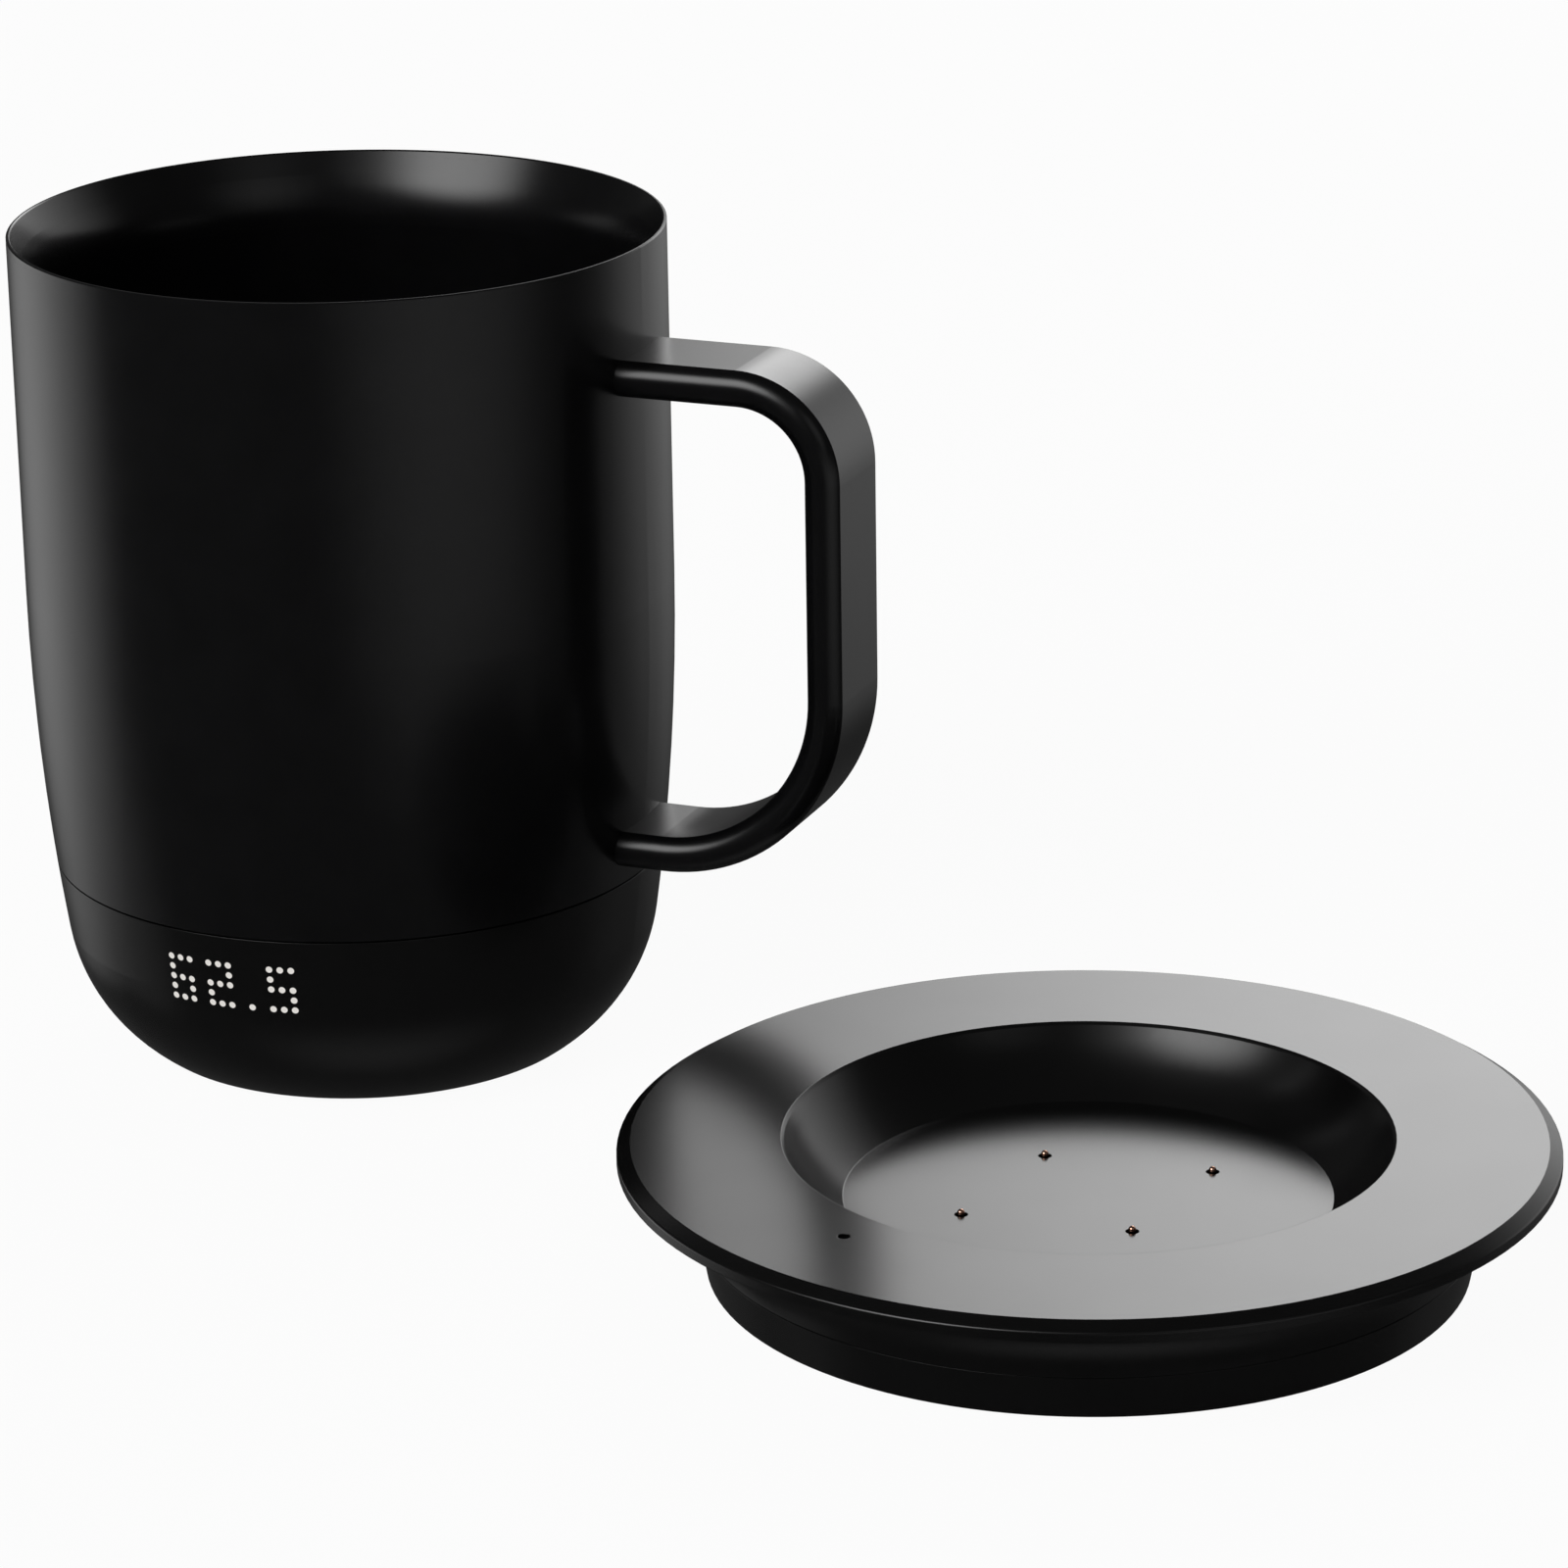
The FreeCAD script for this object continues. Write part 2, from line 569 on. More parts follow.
def base_shell():
    """The plastic shell below the seam, open at the bottom for the cover."""
    opening = COVER_RADIUS + COVER_FIT
    ledge = HUB_RADIUS + COVER_FIT
    floor_top = FOOT_PROUD + BASE_FLOOR
    wall_top = vec(side_radius(SEAM_HEIGHT, BASE_WALL), SEAM_HEIGHT)
    collar_inner = min(COLLAR_RADIUS - COLLAR_WALL, wall_top.x)
    groove_low = SEAM_HEIGHT + (COLLAR_HEIGHT - GASKET_HEIGHT) / 2
    groove_high = groove_low + GASKET_HEIGHT
    corners = [vec(side_radius(SEAM_HEIGHT), SEAM_HEIGHT), vec(COLLAR_RADIUS, SEAM_HEIGHT),
               vec(COLLAR_RADIUS, groove_low), vec(COLLAR_RADIUS - GASKET_DEPTH, groove_low),
               vec(COLLAR_RADIUS - GASKET_DEPTH, groove_high), vec(COLLAR_RADIUS, groove_high),
               vec(COLLAR_RADIUS, COLLAR_TOP), vec(collar_inner, COLLAR_TOP),
               vec(collar_inner, SEAM_HEIGHT - BASE_WALL),
               vec(side_radius(SEAM_HEIGHT - BASE_WALL, BASE_WALL), SEAM_HEIGHT - BASE_WALL)]
    inside = [vec(side_radius(floor_top, BASE_WALL), floor_top), vec(ledge, floor_top),
              vec(ledge, COVER_STEP), vec(opening, COVER_STEP), vec(opening, FOOT_PROUD),
              vec(FOOT_RADIUS, FOOT_PROUD)]
    shell = turned(side_edges(FOOT_PROUD, SEAM_HEIGHT)
                   + [line(a, b) for a, b in zip(corners, corners[1:])]
                   + side_edges(floor_top, SEAM_HEIGHT - BASE_WALL, BASE_WALL)
                   + [line(a, b) for a, b in zip(inside, inside[1:])])
    shelf = disc(SHELF_INNER + SHELF_WIDTH + BASE_WALL, TRAY_BOTTOM - SHELF_THICKNESS, SHELF_THICKNESS)
    shelf = shelf.common(side_solid(FOOT_PROUD, SEAM_HEIGHT, BASE_WALL / 2))
    shelf = shelf.cut(disc(SHELF_INNER, TRAY_BOTTOM - SHELF_THICKNESS, SHELF_THICKNESS))
    shell = shell.fuse(shelf)
    shell = shell.cut(foot_ring_solid())
    shell = shell.fuse(display_ribs())
    shell = shell.cut(display_window_band(WINDOW_SKIN, 0))
    return shell.cut(ribbon_path_clearance()).removeSplitter()


def display_ribs():
    """Two upright ribs behind the window, whose slots hold the display board's ends."""
    ribs = []
    inner = DISPLAY_BOARD_BACK - DISPLAY_RIB
    height = WINDOW_HIGH - WINDOW_LOW
    for side in (-1, 1):
        x = side * (DISPLAY_BOARD_WIDTH / 2 + TOUCH_GAP + (DISPLAY_RIB - DISPLAY_RIB_LAP) / 2)
        rib = block(DISPLAY_RIB + DISPLAY_RIB_LAP, MUG_RADIUS - inner, WINDOW_LOW, height,
                    x, -(MUG_RADIUS + inner) / 2)
        slot = block(DISPLAY_BOARD_WIDTH + 2 * TOUCH_GAP, DISPLAY_BOARD_THICKNESS + 2 * TOUCH_GAP,
                     WINDOW_LOW, height, 0, -(DISPLAY_BOARD_FRONT + DISPLAY_BOARD_BACK) / 2)
        front = block(DISPLAY_BOARD_WIDTH - 2 * DISPLAY_RIB_LAP, MUG_RADIUS, WINDOW_LOW, height,
                      0, -inner - MUG_RADIUS / 2)
        rib = rib.cut(slot).cut(front)
        ribs.append(rib.common(side_solid(FOOT_PROUD, SEAM_HEIGHT, BASE_WALL / 2)))
    return Part.makeCompound(ribs)


def display_window_band(outer_inset, clearance, inner_inset=None):
    """A piece of the room behind the display's skin, as deep as the inner inset or right in."""
    low = WINDOW_LOW + clearance
    high = WINDOW_HIGH - clearance
    half_width = DISPLAY_WIDTH / 2 + WINDOW_MARGIN - clearance
    band = side_solid(low, high, outer_inset)
    if inner_inset is not None:
        band = band.cut(side_solid(low, high, inner_inset))
    window = block(2 * half_width, MUG_RADIUS, low, high - low, 0, -MUG_RADIUS / 2 - DISPLAY_BOARD_BACK)
    return band.common(window)


def display_diffuser():
    """The clear strip that spreads the lamps' light, behind the thin place of the shell."""
    return display_window_band(WINDOW_SKIN, WINDOW_FIT, BASE_WALL)


def display_board():
    height = WINDOW_HIGH - WINDOW_LOW
    y = -(DISPLAY_BOARD_FRONT + DISPLAY_BOARD_BACK) / 2
    return block(DISPLAY_BOARD_WIDTH, DISPLAY_BOARD_THICKNESS, WINDOW_LOW, height, 0, y)


def display_lamps():
    """The grid of lamps on the display board."""
    lamps = []
    for column in range(DISPLAY_COLUMNS):
        for row in range(DISPLAY_ROWS):
            x = (column - (DISPLAY_COLUMNS - 1) / 2) * DISPLAY_PITCH
            z = DISPLAY_CENTRE + (row - (DISPLAY_ROWS - 1) / 2) * DISPLAY_PITCH
            lamps.append(block(LAMP_SIZE, LAMP_DEPTH, z - LAMP_SIZE / 2, LAMP_SIZE,
                               x, -DISPLAY_BOARD_FRONT - LAMP_DEPTH / 2))
    return Part.makeCompound(lamps)


def ribbon_strip(width, ease):
    """The flat cable's run: down behind the display board, inwards, and down to the board."""
    half = RIBBON_THICKNESS / 2 + ease
    back = DISPLAY_BOARD_BACK - RIBBON_THICKNESS / 2
    top = WINDOW_LOW + DISPLAY_PITCH
    inner_turn = TRAY_TOP + TRAY_FENCE / 2
    outer_turn = inner_turn + RIBBON_FALL
    outline = [(back + half, top), (back + half, outer_turn - half),
               (RIBBON_DROP_Y + half, inner_turn - half), (RIBBON_DROP_Y + half, BOARD_TOP),
               (RIBBON_DROP_Y - half, BOARD_TOP), (RIBBON_DROP_Y - half, inner_turn + half),
               (back - half, outer_turn + half), (back - half, top)]
    corners = [Vector(-width / 2, -y, z) for y, z in outline]
    face = Part.Face(Part.makePolygon(corners + corners[:1]))
    return face.extrude(Vector(width, 0, 0))


def display_ribbon():
    return ribbon_strip(RIBBON_WIDTH, 0)


def ribbon_path_clearance():
    return ribbon_strip(RIBBON_WIDTH + 2 * RIBBON_SLOT_CLEAR, RIBBON_SLOT_CLEAR)


def shell_gasket():
    """The rubber ring in the collar's groove, against the steel shell."""
    low = SEAM_HEIGHT + (COLLAR_HEIGHT - GASKET_HEIGHT) / 2
    inner = COLLAR_RADIUS - GASKET_DEPTH
    return ring(inner, COLLAR_RADIUS + COLLAR_FIT / 2, low, GASKET_HEIGHT)


def foot_ring_solid():
    return ring(FOOT_RING_INNER, FOOT_RING_OUTER, 0, FOOT_PROUD + FOOT_RING_DEPTH)


def contact_ring(radius, first_leg):
    """A flat ring under the cover, with two legs up to the board."""
    bottom = COVER_BOTTOM - CONTACT_PROUD
    contact = ring(radius - CONTACT_WIDTH / 2, radius + CONTACT_WIDTH / 2, bottom, CONTACT_THICKNESS)
    for x, y in around(2, radius, first_leg):
        leg = disc(CONTACT_LEG_RADIUS, bottom + CONTACT_THICKNESS,
                   BOARD_BOTTOM - bottom - CONTACT_THICKNESS, x, y)
        contact = contact.fuse(leg)
    return contact.removeSplitter()


def cover_screw_places():
    return list(around(COVER_SCREW_COUNT, COVER_SCREW_CIRCLE, 180.0 / COVER_SCREW_COUNT))


def base_cover():
    cover = disc(COVER_RADIUS, COVER_BOTTOM, COVER_FLANGE).fuse(disc(HUB_RADIUS, COVER_STEP, COVER_HUB))
    for x, y in cover_screw_places():
        cover = cover.fuse(disc(STANDOFF_RADIUS, COVER_TOP, STANDOFF_HEIGHT, x, y))
    for x, y in cover_screw_places():
        cover = cover.cut(disc(COVER_SCREW_HEAD_RADIUS, COVER_BOTTOM, COVER_SCREW_HEAD, x, y))
        cover = cover.cut(disc(COVER_SCREW_RADIUS, COVER_BOTTOM, BOARD_BOTTOM - COVER_BOTTOM, x, y))
    cover = cover.cut(contact_ring(INNER_CONTACT_RADIUS, 0))
    cover = cover.cut(contact_ring(OUTER_CONTACT_RADIUS, 90))
    cover = cover.cut(disc(BUTTON_RADIUS + BUTTON_FIT, COVER_BOTTOM, COVER_TOP - COVER_BOTTOM))
    return cover.removeSplitter()


def cover_screws():
    screws = []
    top = TRAY_BOTTOM + TRAY_THICKNESS / 2
    for x, y in cover_screw_places():
        head = disc(COVER_SCREW_HEAD_RADIUS, COVER_BOTTOM, COVER_SCREW_HEAD, x, y)
        slot = block(2 * COVER_SCREW_RADIUS, COVER_SCREW_RADIUS / 2,
                     COVER_BOTTOM, COVER_SCREW_HEAD / 2, x, y)
        shank = disc(COVER_SCREW_RADIUS, COVER_BOTTOM + COVER_SCREW_HEAD,
                     top - COVER_BOTTOM - COVER_SCREW_HEAD, x, y)
        screws.append(head.cut(slot).fuse(shank).removeSplitter())
    return Part.makeCompound(screws)


def power_button():
    """A round cap with a flange that keeps it in the cover, and a nub for the switch."""
    bottom = COVER_BOTTOM + BUTTON_RECESS
    flange_top = COVER_TOP + TOUCH_GAP + BUTTON_FLANGE
    nub_top = BOARD_BOTTOM - SWITCH_HEIGHT + BUTTON_TRAVEL / 2
    cap = disc(BUTTON_RADIUS, bottom, flange_top - bottom)
    flange = disc(BUTTON_RADIUS + BUTTON_FLANGE_WIDTH, COVER_TOP + TOUCH_GAP, BUTTON_FLANGE)
    nub = disc(BUTTON_NUB_RADIUS, flange_top, nub_top - flange_top)
    return cap.fuse(flange).fuse(nub).removeSplitter()


def button_switch():
    """The switch body under the board, with a bore for the button's nub."""
    body = block(SWITCH_SIZE, SWITCH_SIZE, BOARD_BOTTOM - SWITCH_HEIGHT, SWITCH_HEIGHT)
    bore = disc(BUTTON_NUB_RADIUS + BUTTON_FIT, BOARD_BOTTOM - SWITCH_HEIGHT, 2 * BUTTON_TRAVEL)
    return body.cut(bore)


def button_spring():
    low = COVER_TOP + TOUCH_GAP + BUTTON_FLANGE + SPRING_END_PLAY
    return coil(BUTTON_SPRING_RADIUS, BUTTON_SPRING_WIRE, low, BOARD_BOTTOM - SPRING_END_PLAY,
                BUTTON_SPRING_TURNS)


def control_board():
    board = disc(BOARD_RADIUS, BOARD_BOTTOM, BOARD_THICKNESS)
    for x, y in cover_screw_places():
        board = board.cut(disc(COVER_SCREW_RADIUS, BOARD_BOTTOM, BOARD_THICKNESS, x, y))
    return board


def heater_wire_places():
    return [(side * HEATER_WIRE_SPREAD / 2, HEATER_WIRE_Y) for side in (-1, 1)]


def cell_wire_places():
    return [(side * CELL_X, CELL_WIRE_Y) for side in (-1, 1)]


def wire_passages(bottom, height, places):
    holes = [disc(WIRE_RADIUS + WIRE_CLEAR, bottom, height, x, y) for x, y in places]
    return Part.makeCompound(holes)


def battery_tray():
    """The plate that carries the cells, on four legs, with a low fence round each cell."""
    tray = disc(TRAY_RADIUS, TRAY_BOTTOM, TRAY_THICKNESS)
    for x, y in cover_screw_places():
        tray = tray.fuse(disc(STANDOFF_RADIUS, BOARD_TOP, COVER_SCREW_GRIP, x, y))
    fence = block(2 * (CELL_X + CELL_WIDTH / 2 + CELL_FIT + TRAY_FENCE_WALL),
                  CELL_LENGTH + 2 * (CELL_FIT + TRAY_FENCE_WALL), TRAY_TOP, TRAY_FENCE)
    for side in (-1, 1):
        fence = fence.cut(block(CELL_WIDTH + 2 * CELL_FIT, CELL_LENGTH + 2 * CELL_FIT,
                                TRAY_TOP, TRAY_FENCE, side * CELL_X, 0))
    tray = tray.fuse(fence.common(disc(TRAY_RADIUS, TRAY_TOP, TRAY_FENCE)))
    for x, y in cover_screw_places():
        tray = tray.cut(disc(COVER_SCREW_RADIUS, BOARD_TOP, COVER_SCREW_GRIP + TRAY_THICKNESS / 2, x, y))
    tray = tray.cut(wire_passages(TRAY_BOTTOM, TRAY_THICKNESS + TRAY_FENCE, heater_wire_places()))
    tray = tray.cut(wire_passages(TRAY_BOTTOM, TRAY_THICKNESS + TRAY_FENCE, cell_wire_places()))
    return tray.cut(ribbon_path_clearance()).removeSplitter()


def battery_cell(side):
    cell = block(CELL_WIDTH, CELL_LENGTH, TRAY_TOP, CELL_THICKNESS, side * CELL_X, 0)
    upright = [edge for edge in cell.Edges if abs(edge.tangentAt(edge.FirstParameter).z) > 0.9]
    return cell.makeFillet(CELL_ROUND, upright)


def cell_pads():
    """Foam between the cells and the plate above them."""
    pads = []
    for side in (-1, 1):
        pads.append(block(CELL_WIDTH - PAD_MARGIN, CELL_LENGTH - PAD_MARGIN,
                          CELL_TOP, PAD_THICKNESS, side * CELL_X, 0))
    return Part.makeCompound(pads)


def cell_cover():
    cover = disc(HEATER_RADIUS, PAD_TOP, CELL_COVER_THICKNESS)
    return cover.cut(wire_passages(PAD_TOP, CELL_COVER_THICKNESS, heater_wire_places()))


def insulation_disc():
    foam = disc(HEATER_RADIUS, CELL_COVER_TOP, INSULATION_THICKNESS)
    foam = foam.cut(wire_passages(CELL_COVER_TOP, INSULATION_THICKNESS, heater_wire_places()))
    hole = block(SENSOR_SIZE + 2 * SENSOR_GAP, SENSOR_SIZE + 2 * SENSOR_GAP,
                 INSULATION_TOP - SENSOR_HEIGHT - SENSOR_GAP, SENSOR_HEIGHT + SENSOR_GAP)
    return foam.cut(hole)


def temperature_sensor():
    return block(SENSOR_SIZE, SENSOR_SIZE, INSULATION_TOP - SENSOR_HEIGHT, SENSOR_HEIGHT)


def film_heater():
    return disc(HEATER_RADIUS, INSULATION_TOP, HEATER_THICKNESS)


def heat_spreader():
    return disc(HEATER_RADIUS, HEATER_TOP, SPREADER_THICKNESS)


def heater_wires():
    length = INSULATION_TOP - BOARD_TOP
    return Part.makeCompound([disc(WIRE_RADIUS, BOARD_TOP, length, x, y) for x, y in heater_wire_places()])


def cell_wires():
    """From the end of each cell, out and down to the board."""
    wires = []
    height = TRAY_TOP + CELL_THICKNESS / 2
    for x, y in cell_wire_places():
        points = [(x, CELL_LENGTH / 2, height), (x, y, height), (x, y, BOARD_TOP)]
        wires.append(wire_along(points, WIRE_RADIUS, CELL_WIRE_BEND))
    return Part.makeCompound(wires)


# Heights of the coaster, from the table up

RECESS_BOTTOM = COASTER_HEIGHT - RECESS_DEPTH
RECESS_UNDERSIDE = RECESS_BOTTOM - RECESS_FLOOR
CEILING = COASTER_HEIGHT - COASTER_WALL
LIP_UNDERSIDE = COASTER_HEIGHT - LIP_THICKNESS
TOP_SHELL_BOTTOM = COASTER_SEAM + COASTER_SEAM_GAP
NECK_ARC = LIP_UNDERSIDE - TOP_SHELL_BOTTOM
FLANGE_RADIUS = side_radius(RECESS_DEPTH, -SEAT_CLEARANCE) + FLANGE_WIDTH
NECK_RADIUS = FLANGE_RADIUS - LIP_UNDERCUT - NECK_ARC
COASTER_FOOT_RADIUS = NECK_RADIUS - COASTER_DRAFT
FLOOR_TOP = COASTER_FOOT_PROUD + COASTER_FLOOR
CHARGER_BOTTOM = FLOOR_TOP + CHARGER_STANDOFF
CHARGER_TOP = CHARGER_BOTTOM + CHARGER_BOARD_THICKNESS
COLLAR_OUT = NECK_RADIUS - COASTER_WALL - COLLAR_FIT
COLLAR_IN = COLLAR_OUT - COASTER_COLLAR_WALL
COASTER_SCREW_CIRCLE = COLLAR_IN - COASTER_SCREW_INSET
PAD_RADIUS = COASTER_FOOT_RADIUS - COASTER_FOOT_INSET
BALLAST_OUT = COLLAR_IN - BALLAST_CLEAR
BALLAST_IN = BALLAST_OUT - BALLAST_WIDTH
CHARGER_BOARD_RADIUS = BALLAST_IN - CHARGER_EDGE_GAP
CHARGER_SCREW_CIRCLE = CHARGER_BOARD_RADIUS - CHARGER_SCREW_INSET
BARREL_BOTTOM = CHARGER_TOP
BARREL_TOP = RECESS_UNDERSIDE - PIN_BLOCK_FIT
SHOULDER_TOP = BARREL_TOP - BARREL_WALL - SPRING_END_PLAY
SHOULDER_BOTTOM = SHOULDER_TOP - PIN_SHOULDER
PIN_TOP = RECESS_BOTTOM + PIN_TRAVEL + PIN_PRESSED_PROUD
LAMP_CIRCLE = COLLAR_IN - LAMP_INSET
LAMP_X, LAMP_Y = on_circle(LAMP_CIRCLE, LAMP_TURN)
PIPE_HEAD_TOP = CEILING
STATUS_LAMP_TOP = PIPE_HEAD_TOP - LIGHT_PIPE_HEAD - TOUCH_GAP
LAMP_BOARD_TOP = STATUS_LAMP_TOP - STATUS_LAMP_HEIGHT
LAMP_BOARD_BOTTOM = LAMP_BOARD_TOP - LAMP_BOARD_THICKNESS
INLET_CENTRE = (COASTER_FOOT_PROUD + COASTER_SEAM) / 2 + INLET_RAISE
INLET_FRONT = chord_y(COASTER_FOOT_RADIUS, INLET_WIDTH / 2) - INLET_SETBACK
INLET_BACK = INLET_FRONT - INLET_LENGTH


def pin_places():
    """Two pins on each contact radius; the two pairs stand at right angles."""
    places = []
    pairs = ((OUTER_CONTACT_RADIUS, PIN_TURN), (INNER_CONTACT_RADIUS, PIN_TURN + PIN_PAIR_TURN))
    for radius, turn in pairs:
        places += list(around(2, radius, turn))
    return places


def coaster_screw_places():
    return list(around(COASTER_SCREW_COUNT, COASTER_SCREW_CIRCLE, COASTER_SCREW_TURN))


def charger_screw_places():
    return list(around(CHARGER_SCREW_COUNT, CHARGER_SCREW_CIRCLE, CHARGER_SCREW_TURN))


def coaster_top():
    """Flange, neck and recess in one shell; the recess follows the mug's base corner."""
    rim = vec(side_radius(RECESS_DEPTH - RECESS_EDGE_ROUND, -SEAT_CLEARANCE),
              COASTER_HEIGHT - RECESS_EDGE_ROUND)
    rim_top = rim + vec(RECESS_EDGE_ROUND, RECESS_EDGE_ROUND)
    floor_corner = vec(side_radius(0, -SEAT_CLEARANCE), RECESS_BOTTOM)
    neck_centre = vec(NECK_RADIUS + NECK_ARC, TOP_SHELL_BOTTOM)
    under = SEAT_CLEARANCE + COASTER_WALL
    bevel_top = vec(FLANGE_RADIUS - FLANGE_BEVEL_WIDTH, COASTER_HEIGHT)
    steepness = math.atan2(FLANGE_BEVEL_WIDTH, FLANGE_BEVEL_DROP)
    edge_top = COASTER_HEIGHT - FLANGE_BEVEL_DROP - FLANGE_EDGE_ROUND * math.tan(steepness / 2)
    edge_centre = vec(FLANGE_RADIUS - FLANGE_EDGE_ROUND, edge_top)
    bevel_foot = edge_centre + vec(math.cos(steepness), math.sin(steepness)) * FLANGE_EDGE_ROUND
    inner_arc = NECK_ARC + COASTER_WALL
    ceiling_angle = math.pi - math.asin((CEILING - TOP_SHELL_BOTTOM) / inner_arc)
    ceiling_out = neck_centre + vec(math.cos(ceiling_angle), math.sin(ceiling_angle)) * inner_arc
    wall_foot = vec(side_radius(-RECESS_FLOOR, -under), RECESS_UNDERSIDE)
    wall_head = vec(side_radius(CEILING - RECESS_BOTTOM, -under), CEILING)
    outside = [arc_about(neck_centre, NECK_ARC, math.pi, math.pi / 2),
               line(neck_centre + UP * NECK_ARC, vec(FLANGE_RADIUS, LIP_UNDERSIDE)),
               line(vec(FLANGE_RADIUS, LIP_UNDERSIDE), vec(FLANGE_RADIUS, edge_top)),
               arc_about(edge_centre, FLANGE_EDGE_ROUND, 0, steepness),
               line(bevel_foot, bevel_top),
               line(bevel_top, rim_top),
               line(rim_top, rim)]
    outside += side_edges(0, RECESS_DEPTH - RECESS_EDGE_ROUND, -SEAT_CLEARANCE, RECESS_BOTTOM)
    outside += [line(floor_corner, vec(0, RECESS_BOTTOM)),
                line(vec(0, RECESS_BOTTOM), vec(0, RECESS_UNDERSIDE)),
                line(vec(0, RECESS_UNDERSIDE), wall_foot)]
    outside += side_edges(-RECESS_FLOOR, CEILING - RECESS_BOTTOM, -under, RECESS_BOTTOM)
    outside += [line(wall_head, ceiling_out),
                arc_about(neck_centre, inner_arc, ceiling_angle, math.pi),
                line(vec(NECK_RADIUS - COASTER_WALL, TOP_SHELL_BOTTOM), vec(NECK_RADIUS, TOP_SHELL_BOTTOM))]
    top = turned(outside)
    for x, y in coaster_screw_places():
        bottom = FLOOR_TOP + COASTER_BOSS_HEIGHT
        boss = disc(COASTER_BOSS_RADIUS, bottom, CEILING - bottom, x, y)
        boss = boss.cut(disc(COASTER_SCREW_RADIUS, bottom, COASTER_SCREW_GRIP, x, y))
        boss = boss.cut(ring(COLLAR_IN - COLLAR_FIT, FLANGE_RADIUS, bottom,
                             COASTER_SEAM + COASTER_COLLAR_HEIGHT + COLLAR_FIT - bottom))
        top = top.fuse(boss)
    for x, y in pin_places():
        top = top.cut(disc(PIN_HOLE_RADIUS, RECESS_UNDERSIDE, RECESS_FLOOR, x, y))
    top = top.cut(disc(LIGHT_PIPE_RADIUS + LIGHT_PIPE_FIT, CEILING, COASTER_WALL, LAMP_X, LAMP_Y))
    return top.removeSplitter()


def coaster_base():
    """Floor, drafted wall and the collar that plugs into the top shell."""
    collar_top = COASTER_SEAM + COASTER_COLLAR_HEIGHT
    pad_top = COASTER_FOOT_PROUD + COASTER_FOOT_DEPTH
    boss_top = FLOOR_TOP + COASTER_BOSS_HEIGHT
    base = turned_points([(0, pad_top), (PAD_RADIUS, pad_top), (PAD_RADIUS, COASTER_FOOT_PROUD),
                          (COASTER_FOOT_RADIUS, COASTER_FOOT_PROUD), (NECK_RADIUS, COASTER_SEAM),
                          (COLLAR_OUT, COASTER_SEAM), (COLLAR_OUT, collar_top), (COLLAR_IN, collar_top),
                          (COLLAR_IN, FLOOR_TOP), (0, FLOOR_TOP)])
    for x, y in coaster_screw_places():
        base = base.fuse(disc(COASTER_BOSS_RADIUS, FLOOR_TOP, COASTER_BOSS_HEIGHT, x, y))
    for x, y in charger_screw_places():
        base = base.fuse(disc(CHARGER_STANDOFF_RADIUS, FLOOR_TOP, CHARGER_STANDOFF, x, y))
    base = base.fuse(disc(LAMP_POST_RADIUS, FLOOR_TOP, LAMP_BOARD_BOTTOM - FLOOR_TOP, LAMP_X, LAMP_Y))
    for x, y in coaster_screw_places():
        base = base.cut(disc(COASTER_SCREW_HEAD_RADIUS, pad_top, COASTER_SCREW_HEAD, x, y))
        base = base.cut(disc(COASTER_SCREW_RADIUS, pad_top, boss_top - pad_top, x, y))
    for x, y in charger_screw_places():
        base = base.cut(disc(CHARGER_SCREW_RADIUS, FLOOR_TOP - COASTER_FLOOR / 2,
                             CHARGER_STANDOFF + COASTER_FLOOR / 2, x, y))
    return base.cut(inlet_outline(INLET_FIT, FLANGE_RADIUS)).removeSplitter()


def coaster_foot():
    """The rubber pad that the coaster stands on; it hides the screws."""
    return disc(PAD_RADIUS, 0, COASTER_FOOT_PROUD + COASTER_FOOT_DEPTH)


def coaster_screws():
    screws = []
    head_bottom = COASTER_FOOT_PROUD + COASTER_FOOT_DEPTH
    head_top = head_bottom + COASTER_SCREW_HEAD
    top = FLOOR_TOP + COASTER_BOSS_HEIGHT + COASTER_SCREW_GRIP
    for x, y in coaster_screw_places():
        head = disc(COASTER_SCREW_HEAD_RADIUS, head_bottom, COASTER_SCREW_HEAD, x, y)
        shank = disc(COASTER_SCREW_RADIUS, head_top, top - head_top, x, y)
        screws.append(head.fuse(shank).removeSplitter())
    return Part.makeCompound(screws)


def ballast_ring():
    """A steel ring on the coaster's floor, cleared round the bosses, lamp post and inlet."""
    ballast = ring(BALLAST_IN, BALLAST_OUT, FLOOR_TOP, BALLAST_THICKNESS)
    for x, y in coaster_screw_places():
        ballast = ballast.cut(disc(COASTER_BOSS_RADIUS + BALLAST_CLEAR, FLOOR_TOP, BALLAST_THICKNESS, x, y))
    post = disc(LAMP_POST_RADIUS + BALLAST_CLEAR, FLOOR_TOP, BALLAST_THICKNESS, LAMP_X, LAMP_Y)
    notch = block(BOARD_NOSE_WIDTH + 2 * BALLAST_CLEAR, BALLAST_OUT, FLOOR_TOP, BALLAST_THICKNESS,
                  0, (BALLAST_OUT + BALLAST_IN) / 2)
    return ballast.cut(post).cut(notch)


